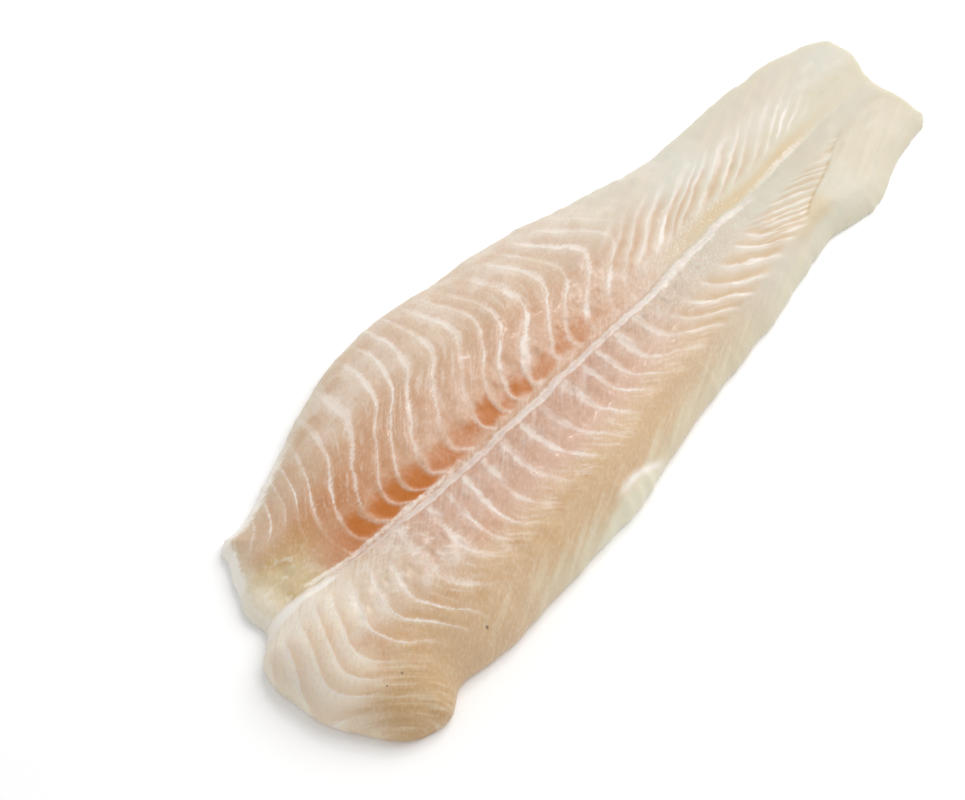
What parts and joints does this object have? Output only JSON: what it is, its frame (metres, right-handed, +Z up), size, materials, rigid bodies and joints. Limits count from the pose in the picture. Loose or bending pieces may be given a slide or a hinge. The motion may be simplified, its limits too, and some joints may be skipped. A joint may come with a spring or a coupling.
{
  "type": "swai fillet",
  "caption": "Raw skinless white fish fillet, lying bone side up, with a thick back lobe, a thinner belly lobe, a groove along the midline and shingled muscle flakes.",
  "frame": {"origin": "middle of the fillet's box, on the surface that it lies on", "axes": "+X along the fillet from the head end to the tail, +Y towards the belly edge, +Z up"},
  "size_m": [0.2602, 0.0926, 0.0193],
  "materials": {
    "flesh": "wet, glossy, slightly translucent"
  },
  "bodies": {
    "root": {"fillet": "flesh"}
  },
  "joints": []
}
